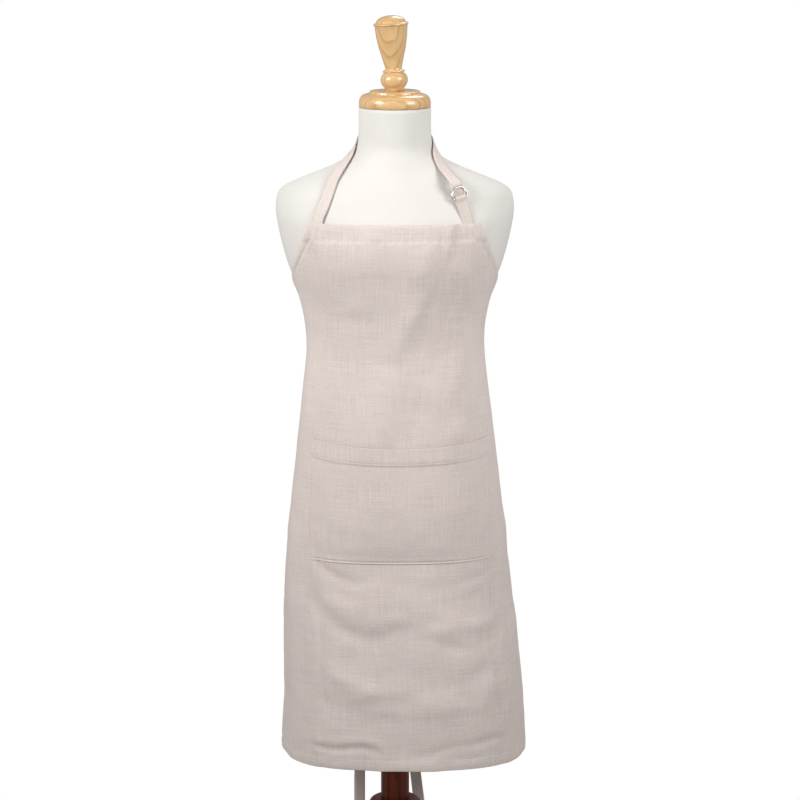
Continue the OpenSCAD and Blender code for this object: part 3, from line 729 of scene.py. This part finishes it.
def plainMaterial(kind):
    facts = metals[kind]
    look = Shader(kind, {"Metallic": facts["metal"]})
    wear = look.cloud(look.mapped("object"), facts["scale"], 3.0, 0.6)
    broad = look.cloud(look.mapped("object"), facts["scale"] * 0.1, 2.0)
    dim = tuple(c * 0.82 for c in facts["colour"])
    look.feed("Base Color", look.mix(look.stretch(wear * 0.5 + broad * 0.5, 0.3, 0.7), dim, facts["colour"]))
    look.feed("Roughness", look.stretch(wear, 0.3, 0.7, *facts["rough"]))
    depth = 0.3 * mm if kind == "feltGrey" else 0.03 * mm
    look.feed("Normal", look.bump(wear, depth, 0.5))
    return look.material


def coverForm(material):
    around, up = 120, 150

    def place(i, j):
        a = 2 * pi * i / around + pi
        z = form["foot"] + form["height"] * j / up
        return Vector((*rim(smoothRow(formRows, z), a, form["cover"]), z))

    def flat(i, j):
        return (i / around * 0.86, j / up * form["height"])

    piece = gridSheet("jerseyCover", around, up, place, flat, material, closed=True)
    bm = bmesh.new()
    bm.from_mesh(piece.data)
    low = [e for e in bm.edges if e.is_boundary and e.verts[0].co.z < form["foot"] + mm]
    turned = bmesh.ops.extrude_edge_only(bm, edges=low)["geom"]
    for v in [g for g in turned if isinstance(g, bmesh.types.BMVert)]:
        v.co.x *= 0.93
        v.co.y *= 0.93
        v.co.z -= 0.2 * mm
    bmesh.ops.recalc_face_normals(bm, faces=bm.faces)
    bm.to_mesh(piece.data)
    bm.free()
    for face in piece.data.polygons:
        face.use_smooth = True
    thicken(piece, 0.8 * mm, -1.0)
    return dress(piece, "jersey", "form_cover")


def hemPuff(s, t):
    w = halfWidth(t)
    puff = 0.0
    hems = ((t, panel["topHem"]), (panel["length"] - t, panel["footHem"]), (w - abs(s), panel["sideHem"]))
    for inside, depth in hems:
        if inside <= depth:
            puff = max(puff, panel["pad"] * min(1, inside / (2 * mm) + 0.2))
        line = inside - depth + 1.4 * mm
        puff -= panel["groove"] * exp(-(line / (1.2 * mm)) ** 2)
        puff += panel["ripple"] * exp(-(line / (7 * mm)) ** 2) * sin(340 * (s + t) + 3 * sin(90 * s))
    inside = w - abs(s)                                      # the straps sewn behind the bib's corners
    corner = ramp(strap["width"] + 2 * mm - inside, 0, 2 * mm) * ramp(panel["topHem"] - t, 0, 1.5 * mm)
    return puff + 0.9 * mm * corner


def panelPiece(material, threadLook):
    inner, edge = 130, [0, 0.7 * mm, 4 * mm, 8 * mm, panel["sideHem"] - 0.8 * mm, panel["sideHem"], 13 * mm]
    length = panel["length"]
    body = [panel["topHem"] + (length - panel["footHem"] - panel["topHem"]) * i / 168 for i in range(1, 168)]
    rows = [0, 0.7 * mm, 5 * mm, 10 * mm, 15 * mm, 20 * mm, 24.6 * mm, panel["topHem"], *body,
            length - panel["footHem"], length - 15.6 * mm, length - 11 * mm, length - 6 * mm,
            length - 0.7 * mm, length]
    columns = 2 * len(edge) + inner - 1

    def flat(i, j):
        t = rows[j]
        w = halfWidth(t)
        side, k = (-1, i) if i < columns / 2 else (1, columns - i)
        if k < len(edge):
            return side * (w - edge[k]), t
        share = (i - len(edge) + 1) / (inner + 1)
        return (w - edge[-1]) * (2 * share - 1), t

    def place(i, j):
        s, t = flat(i, j)
        return drape(s, t, panel["stand"] + hemPuff(s, t))

    piece = gridSheet("apronPanel", columns, len(rows) - 1, place, flat, material, flip=True)
    group = piece.vertex_groups.new(name="hem")
    count = columns + 1
    for v in piece.data.vertices:
        j, i = divmod(v.index, count)
        s, t = flat(i, j)
        atEnd = t <= panel["topHem"] or t >= length - panel["footHem"]
        if atEnd or halfWidth(t) - abs(s) <= panel["sideHem"]:
            group.add([v.index], 1.0, "REPLACE")
    thicken(piece, 2 * panel["thick"], -1.0, "hem", 0.5)
    area = 0.0
    steps = 200
    for k in range(steps):
        area += 2 * halfWidth((k + 0.5) / steps * length) * length / steps
    dress(piece, "linen", "apron_panel")
    seams = sewStitches("panelStitches", panelSeams(), threadLook)
    dress(seams, "linen")
    return piece


pocket = dict(width=0.280, height=0.180, drop=0.321, aside=8 * mm, hem=26 * mm, bow=6 * mm, droop=7 * mm)


def pocketSpot(u, v):  # u from -1 to 1 across, v from 0 at the mouth to 1 at the foot
    s = pocket["aside"] + u * pocket["width"] / 2
    t = pocket["drop"] + v * pocket["height"] + pocket["droop"] * (1 - u * u) * (1 - v) ** 1.5
    return s, t


def pocketLift(u, v):
    stand = pocket["bow"] * (1 - abs(u) ** 3) * max(0.0, 1 - v) ** 0.8
    sag = 2.2 * mm * (1 - abs(u) ** 4) * sin(pi * min(v, 1) ** 1.6)
    edge = min((1 - abs(u)) * pocket["width"] / 2, (1 - v) * pocket["height"])
    seam = 1.0 * mm * exp(-((edge - 2.2 * mm) / (1.1 * mm)) ** 2)
    mouth = v * pocket["height"]
    hem = 0.9 * mm * ramp(pocket["hem"] - mouth, -0.3 * mm, 0.3 * mm)
    hem -= 0.7 * mm * exp(-((mouth - pocket["hem"] + 1.5 * mm) / (1.2 * mm)) ** 2)
    pucker = 0.3 * mm * noise.noise(Vector((u * 22, v * 12, 2.0))) * exp(-edge / (9 * mm))
    return panel["stand"] + 1.0 * mm + stand + sag - seam + hem + pucker


def pocketPiece(material, threadLook):
    side = [0, 0.6 * mm, 1.4 * mm, 2.2 * mm, 3.0 * mm, 4.5 * mm]
    half = pocket["width"] / 2
    spread = [-half + x for x in side] + [(-half + 7 * mm) + (2 * half - 14 * mm) * i / 60 for i in range(61)]
    spread += [half - x for x in reversed(side)]
    height = pocket["height"]
    rows = [0, 0.6 * mm, 4 * mm, 8 * mm, 12 * mm, 16 * mm, 20 * mm]
    rows += [23.4 * mm, 24.6 * mm, 25.6 * mm, 26.4 * mm]
    rows += [30 * mm + (height - 36 * mm) * i / 34 for i in range(35)]
    rows = sorted(set(round(r, 6) for r in [*rows, *[height - x for x in side]]))

    def spot(i, j):
        return spread[i] / half, rows[j] / height

    def place(i, j):
        u, v = spot(i, j)
        return drape(*pocketSpot(u, v), pocketLift(u, v))

    def flat(i, j):
        return spread[i] + 0.41, rows[j] + 0.13

    piece = gridSheet("pocketCloth", len(spread) - 1, len(rows) - 1, place, flat, material, flip=True)
    thicken(piece, 0.8 * mm, -1.0)
    dress(piece, "linen", "pocket")
    seams = sewStitches("pocketStitches", pocketSeams(), threadLook)
    dress(seams, "linen")
    return piece


def seamOnPocket(path):
    spots = []
    for (u0, v0), (u1, v1) in zip(path, path[1:]):
        length = sqrt(((u1 - u0) * pocket["width"] / 2) ** 2 + ((v1 - v0) * pocket["height"]) ** 2)
        count = max(1, round(length / stitch["pitch"]))
        for k in range(count):
            c = (k + 0.5) / count
            u, v = u0 + (u1 - u0) * c, v0 + (v1 - v0) * c
            step = 0.01
            p = drape(*pocketSpot(u, v), pocketLift(u, v) + 0.12 * mm)
            across = drape(*pocketSpot(u + step, v), pocketLift(u + step, v)) - drape(
                *pocketSpot(u - step, v), pocketLift(u - step, v))
            low, high = min(v + step, 1.0), v - step
            down = drape(*pocketSpot(u, low), pocketLift(u, low)) - drape(
                *pocketSpot(u, high), pocketLift(u, high))
            across, down = across.normalized(), down.normalized()
            run = across * (u1 - u0) * pocket["width"] / 2 + down * (v1 - v0) * pocket["height"]
            spots.append((p, run.normalized(), down.cross(across).normalized()))
    return spots


def pocketSeams():
    half, height = pocket["width"] / 2, pocket["height"]
    u, v = 1 - 2.2 * mm / half, 1 - 2.2 * mm / height
    spots = seamOnPocket([(-u, 0.004), (-u, v), (u, v), (u, 0.004)])
    hem = (pocket["hem"] - 1.5 * mm) / height
    edge = 1 - 2.2 * mm / half
    spots += seamOnPocket([(-edge, hem), (edge, hem)])
    for side in (-1, 1):                                     # small triangles that hold the mouth's corners
        spots += seamOnPocket([(side * edge, hem * 0.55), (side * (edge - 11 * mm / half), 0.012)])
    return spots


def panelSeams():
    length, lift = panel["length"], lambda s, t: panel["stand"] + hemPuff(s, t) + 0.12 * mm
    inset = 1.5 * mm
    top, foot, side = panel["topHem"] - inset, length - panel["footHem"] + inset, panel["sideHem"] - inset
    spots = []
    for sign in (-1, 1):
        edge = [(sign * (halfWidth(t) - side), t) for t in [top + (foot - top) * (k / 60) for k in range(61)]]
        spots += seamOnPanel(edge, lift)
        out = panel["bib"] / 2 - inset
        into = out - strap["width"] + 1 * mm
        corners = ((out, 3 * mm), (into, 3 * mm), (into, top), (out, top), (out, 3 * mm))
        spots += seamOnPanel([(sign * x, y) for x, y in corners], lift)
        z = panel["armhole"] + strap["width"] / 2 + 2 * mm
        corners = ((2, -7), (18, -7), (18, 7), (2, 7), (2, -7))
        box = [(sign * (panel["width"] / 2 - x * mm), z + y * mm) for x, y in corners]
        spots += seamOnPanel(box, lift)
    spots += seamOnPanel([(panel["bib"] / 2 * u - 2 * mm * u, top) for u in (-1, 1)], lift)
    spots += seamOnPanel([(panel["width"] / 2 * u - 2 * mm * u, foot) for u in (-1, 1)], lift)
    return spots


strapFootZ = panel["top"] - 20 * mm
ringBar = next(j for j in frame["joints"] if j["name"] == "front_ring_lift")
ring = dict(width=24 * mm, wire=1.8 * mm, rise=4 * mm, frontTilt=4, rearTilt=-6, gap=2.3 * mm)


def strapFootAngle():
    _, _, angles, sums, _ = panelRow(20 * mm)
    return lookup(list(zip(sums, angles)), panel["bib"] / 2 - strap["width"] / 2 - 1 * mm) * 180 / pi


def shareOf(z):
    return (z - form["foot"]) / form["height"]


barAt = Vector(ringBar["pos_m"])
acrossStrap = Vector(ringBar["axis"]).normalized()
strapFoot = onForm(strapFootAngle(), shareOf(strapFootZ), ease(strapFootZ) - 1.1 * mm)
upStrap = (barAt - strapFoot).normalized()
upStrap = (upStrap - acrossStrap * upStrap.dot(acrossStrap)).normalized()
offStrap = acrossStrap.cross(upStrap)


def inBuckle(u, n, x=0.0):  # mm up the strap, out from the bar, across
    return barAt + (upStrap * u + offStrap * n + acrossStrap * x) * mm


def ringPoints(tilt, n):
    half = (ring["width"] - ring["wire"]) / 2 / mm
    rise = ring["rise"] / mm
    corner = 1.2
    flat = [(-half + corner + (2 * half - 2 * corner) * k / 10, 0) for k in range(11)]
    bends = [pi / 8 * k for k in (1, 2, 3, 4)]
    flat += [(half - corner + corner * sin(a), corner - corner * cos(a)) for a in bends]
    flat += [(half * cos(a), rise + half * sin(a)) for a in [pi * k / 36 for k in range(37)]]
    flat += [(-half + corner - corner * sin(a), corner - corner * cos(a)) for a in reversed(bends)]
    t = radians(tilt)
    return [inBuckle(y * cos(t), n + y * sin(t), x) for x, y in flat]


def ringPiece(name, tilt, n, material, node, body):
    piece = tube(name, ringPoints(tilt, n), offStrap, ring["wire"] / 2, material)
    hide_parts(node)
    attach(piece, body)
    return piece


# Angle in degrees and height share on the form, from the left corner of the bib round the neck
neckRoute = [
    (-37, 0.79), (-34, 0.815), (-33.2, 0.84), (-40.5, 0.86), (-53, 0.88), (-70, 0.9), (-89, 0.918),
    (-111, 0.93), (-135, 0.938), (-160, 0.943), (-180, 0.944), (-200, 0.943), (-225, 0.938),
    (-250, 0.93), (-276, 0.918), (-298.5, 0.901), (-313.5, 0.882),
]
# Up the strap and out from the front ring's bar: between the rings, then down behind them
ringRoute = [
    (22, -1.4), (15, -1.2), (10.5, -1.5), (7.5, -2.4), (5.2, -3.9), (3.6, -4.9), (0, -5.2), (-4, -4.9),
    (-11, -3.6), (-15, -3.4), (-19.5, -3.4),
]


def neckStrapPiece(material, threadLook):
    footShare = shareOf(strapFootZ)
    sewn = ease(strapFootZ) - 1.4 * mm
    low = form["cover"] + 1.3 * mm
    lifts = [(footShare, sewn), (footShare + 0.03, sewn - 0.3 * mm), (footShare + 0.09, low),
             (0.88, low + 2 * mm), (0.93, low + 2 * mm), (0.944, low + mm)]
    route = [(-strapFootAngle(), footShare), *neckRoute]
    over = [onForm(a, h, lookup(lifts, h)) for a, h in route]
    points, length = splinePoints(over + [inBuckle(u, n) for u, n in ringRoute], 4 * mm)
    normals = [formNormal(radians(a), form["foot"] + h * form["height"]) for a, h in route]
    normals += [offStrap] * len(ringRoute)
    reach = [0.0]
    hand = over + [inBuckle(u, n) for u, n in ringRoute]
    for p, q in zip(hand, hand[1:]):
        reach.append(reach[-1] + (q - p).length)

    def sideAt(share, p, run):
        d = share * reach[-1]
        i = min(bisect_right(reach, d), len(reach) - 1) - 1
        t = min((d - reach[i]) / (reach[i + 1] - reach[i]), 1)
        return run.cross(normals[i].lerp(normals[i + 1], t))

    frames = ribbonFrames(points, sideAt)
    piece = dress(ribbon("neckStrap", frames, material), "linen", "neck_strap")
    dress(sewStitches("neckStrapStitches", edgeSeams(frames, start=0.03), threadLook), "linen")
    print("neck strap", round(length, 3), "m")
    return piece


def ringStrapPiece(material, threadLook):
    foot = -(barAt - strapFoot).length / mm
    profile = [
        (foot, -0.4), (foot * 0.5, -0.4), (-9, -0.4), (-5, 0.5), (-2.2, 1.5), (0, 1.9), (1.5, 1.2),
        (2.0, -0.2), (2.0, -2.2), (1.5, -3.6), (0, -4.2), (-2.2, -3.7), (-5, -2.6), (-9, -1.9),
        (foot * 0.5, -1.8), (foot, -1.8),
    ]
    points, _ = splinePoints([inBuckle(u, n) for u, n in profile], 1.6 * mm)
    frames = ribbonFrames(points, lambda share, p, run: acrossStrap)
    piece = dress(ribbon("ringStrap", frames, material, thickness=1.1 * mm, crown=0), "linen", "ring_strap")
    spots = edgeSeams(frames, 0.16, 0.40, lift=0.75 * mm)
    for k in range(5):                                       # the row that closes the loop under the rings
        x = (k - 2) * stitch["pitch"]
        spots.append((inBuckle(-8.5, 0.35, x / mm), acrossStrap, offStrap))
    dress(sewStitches("ringStrapStitches", spots, threadLook), "linen")
    return piece


tieZ = panel["top"] - panel["armhole"] - strap["width"] / 2 - 2 * mm
knotAt = Vector((0, rim(grown(smoothRow(formRows, tieZ), ease(tieZ) + 1.5 * mm), pi)[1] + 2 * mm, tieZ))


def waistTiePiece(side, name, node, material, threadLook):
    _, _, angles, sums, _ = panelRow(panel["armhole"])
    edgeAngle = lookup(list(zip(sums, angles)), panel["width"] / 2) * 180 / pi
    lift = ease(tieZ) + 2.0 * mm
    stops = [edgeAngle - 7 + (177.5 - edgeAngle + 7) * k / 6 for k in range(7)]
    points, _ = splinePoints([onForm(side * a, shareOf(tieZ), lift) for a in stops], 4 * mm)
    frames = ribbonFrames(points, lambda share, p, run: Vector((0, 0, -side)))
    piece = dress(ribbon(name, frames, material), "linen", node)
    dress(sewStitches(name + "Stitches", edgeSeams(frames), threadLook), "linen")
    return piece


def bowPiece(material):
    parts = []
    for side in (-1, 1):
        lean = Vector((side * cos(radians(48)), 0, -sin(radians(48))))
        width = Vector((0, 1, 0)).cross(lean)
        loop = [
            (2, 8), (14, 11.5), (34, 13), (60, 13.5), (84, 12.5), (98, 11), (103, 8.5), (102, 6),
            (96, 4.8), (76, 4.6), (50, 5.2), (26, 5.8), (10, 5.5), (2, 5),
        ]
        points, _ = splinePoints([knotAt + (lean * a + Vector((0, b, 0))) * mm for a, b in loop], 3 * mm)
        frames = ribbonFrames(points, lambda share, p, run: width * (1 if side > 0 else -1))
        parts.append(ribbon("bowLoop", frames, material, crown=0.8 * mm))
    wrap = []
    for k in range(24):
        a = 2 * pi * k / 24
        wrap.append(knotAt + Vector((3 * mm * sin(a * 0.5), (7 + 7.2 * sin(a)) * mm, 11 * mm * cos(a))))
    frames = ribbonFrames(wrap + wrap[:2], lambda share, p, run: Vector((1, 0, 0.12)))
    parts.append(ribbon("bowKnot", frames, material, crown=1.6 * mm, thickness=2.2 * mm))
    bm = bmesh.new()
    for part in parts:
        bm.from_mesh(part.data)
        bpy.data.objects.remove(part)
    piece = addObject("tieBow", bm, material)
    return dress(piece, "linen", "tie_bow")


# From the knot, in mm: sideways, backwards, down
tailRoutes = dict(
    left=[
        (-6, 9, -9), (-10, 16, -30), (-14, 20, -55), (-18, 22, -85), (-22, 24, -120), (-26, 25, -155),
        (-30, 26, -190), (-34, 26, -225), (-37, 26, -265), (-40, 25, -305), (-43, 24, -345),
        (-46, 22, -385), (-48, 20, -425), (-50, 18, -465), (-52, 17, -505), (-54, 16, -545),
        (-55, 15, -585), (-56, 15, -625), (-56, 15, -665), (-55, 15, -700),
    ],
    right=[
        (6, 12, -9), (10, 18, -30), (11, 20, -55), (13, 22, -85), (15, 24, -120), (17, 25, -155),
        (19, 26, -190), (20, 26, -225), (21, 26, -265), (22, 25, -305), (23, 24, -345), (24, 22, -385),
        (24, 20, -425), (25, 18, -465), (26, 17, -505), (27, 16, -545), (29, 15, -585), (33, 15, -625),
        (38, 15, -665), (43, 15, -700),
    ],
)


def tieTailPiece(side, material, threadLook):
    points, length = splinePoints([knotAt + Vector(p) * mm for p in tailRoutes[side]], 5 * mm)
    turn = -1 if side == "left" else 1

    def sideAt(share, p, run):
        a = turn * (0.35 * sin(3.1 * share + 0.6) + 0.25 * share)
        return Vector((-cos(a), sin(a), 0))

    frames = ribbonFrames(points, sideAt)
    piece = dress(ribbon("tieTail" + side.capitalize(), frames, material), "linen", "tie_tail_" + side)
    spots = edgeSeams(frames, start=0.01, sides=(-1, 1))
    end = frames[-3]
    for k in range(5):                                       # row across the turned-in end
        spots.append((end[0] + end[2] * (k - 2) * stitch["pitch"] + end[3] * threadLift, end[2], end[3]))
    seams = dress(sewStitches("tieTail" + side.capitalize() + "Stitches", spots, threadLook), "linen")
    print("tie tail", side, round(length, 3), "m")
    return piece


capProfile = [
    (0, 0), (50, 0), (51.4, 0.8), (52.2, 2.6), (52.5, 6), (52.2, 9.5), (51.2, 13), (49.2, 16),
    (46.4, 18), (42.6, 19.2), (39.4, 19.7), (37.8, 20.0), (37.3, 20.6), (37.2, 22.4), (36.7, 23.4),
    (35.6, 23.9), (34, 24), (12, 24), (0, 24),
]
finialProfile = [
    (0, 0), (12, 0), (13, 0.6), (13.4, 2), (13.9, 3.4), (16.4, 6.4), (18.8, 10), (19.9, 14),
    (19.9, 17.6), (18.8, 21.2), (16.6, 24.2), (14.6, 25.6), (14.2, 26.2), (14.9, 26.8), (16.0, 27.4),
    (16.3, 28.3), (15.8, 29.3), (14.2, 29.9), (12.6, 30.3), (12.1, 31.2), (12.4, 34), (15.8, 48),
    (19.6, 62), (22.4, 77), (24.0, 93.5), (24.4, 94.6), (25.2, 95.2), (25.7, 96.2), (25.5, 97.4),
    (24.4, 98.2), (22.8, 98.5), (22.2, 98.9), (21.9, 99.8), (20.6, 102.4), (17.6, 105.0), (12.6, 107.4),
    (6.5, 108.7), (0, 109),
]


def dressKeptNodes(finishes):
    for name, piece in frame["nodes"].items():
        for nodes, material in finishes:
            if name in nodes.split():
                piece.data.materials.clear()
                piece.data.materials.append(material)


def makeStage():
    bm = bmesh.new()
    bmesh.ops.create_circle(bm, cap_ends=True, segments=96, radius=1.0)
    floor = addObject("studioFloor", bm, smooth=False)
    look = Shader("studioWhite", {"Roughness": 0.9})
    grain = look.cloud(look.mapped("object"), 3.0)
    look.feed("Base Color", look.mix(grain, (0.50, 0.50, 0.50), (0.54, 0.54, 0.54)))
    floor.data.materials.append(look.material)


lights = [
    dict(name="keyLight", place=(-1.8, -1.3, 2.4), size=1.1, power=14.8, aim=(0, 0, 1.42), spread=84),
    dict(name="fillLight", place=(1.9, -1.4, 2.3), size=1.2, power=12.2, aim=(0, 0, 1.42), spread=84),
    dict(name="backLight", place=(0.6, 2.2, 3.5), size=1.2, power=26, aim=(0, 0, 1.1), spread=180),
]
daylight = 0.36


def makeLights():
    for facts in lights:
        data = bpy.data.lights.new(facts["name"], "AREA")
        data.size = facts["size"]
        data.energy = facts["power"]
        data.spread = radians(facts["spread"])
        lamp = bpy.data.objects.new(facts["name"], data)
        lamp.location = facts["place"]
        beam = Vector(facts["aim"]) - Vector(facts["place"])
        lamp.rotation_euler = beam.to_track_quat("-Z", "Y").to_euler()
        bpy.context.scene.collection.objects.link(lamp)
    world = bpy.data.worlds.new("studio")
    world.use_nodes = True
    tree = world.node_tree
    shown = tree.nodes.new("ShaderNodeLightPath")
    strength = tree.nodes.new("ShaderNodeMapRange")
    strength.inputs["To Min"].default_value = daylight
    tree.links.new(shown.outputs["Is Camera Ray"], strength.inputs["Value"])
    tree.links.new(strength.outputs["Result"], tree.nodes["Background"].inputs["Strength"])
    tree.nodes["Background"].inputs["Color"].default_value = (1, 1, 1, 1)
    bpy.context.scene.world = world
    bpy.context.scene.view_settings.view_transform = "Standard"


makeCamera()
makeStage()
makeLights()
linenLook = linenMaterial()
threadLook = threadMaterial()
for side in ("left", "right"):
    tieTailPiece(side, linenLook, threadLook)
coverForm(jerseyMaterial())
print("form covered")
panelPiece(linenLook, threadLook)
print("panel draped")
pocketPiece(linenLook, threadLook)
print("pocket sewn on")
nickel, steel = plainMaterial("nickel"), plainMaterial("zinc")
neckStrapPiece(linenLook, threadLook)
ringStrapPiece(linenLook, threadLook)
ringPiece("frontRing", ring["frontTilt"], 0, nickel, "d_ring_front", "front_ring")
ringPiece("rearRing", ring["rearTilt"], -ring["gap"] / mm, nickel, "d_ring_rear", "form")
print("strap and rings threaded")
waistTiePiece(-1, "waistTieLeft", "waist_tie_left", linenLook, threadLook)
waistTiePiece(1, "waistTieRight", "waist_tie_right", linenLook, threadLook)
bowPiece(linenLook)
print("ties knotted")
maple, stained, plywood = woodMaterial("maple"), woodMaterial("stained"), woodMaterial("plywood")
turned("neckCap", capProfile, form["top"], maple, "neck_cap", "light_wood", "form")
turned("turnedFinial", finialProfile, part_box("finial")[0][2], maple, "finial", "light_wood", "form",
       lean=-3.4)
dressKeptNodes([
    ("felt_pad", plainMaterial("feltGrey")),
    ("ballast_plate", plainMaterial("greyEnamel")),
    ("ballast_screws column_bolt clamp_stud socket_screws finial_stud", steel),
    # the stand's wood: its own darker tone with painted shade
    ("base_disc column column_head clamp_knob pole", stained),
    ("clamp_insert", plainMaterial("brass")),
    ("clamp_pad swivel_washer", plainMaterial("nylon")),
    ("pole_socket", plainMaterial("blackPaint")),
    ("bottom_board neck_block", plywood),
    ("torso_shell", plainMaterial("mouldedShell")),
])
print("stand and cap finished")
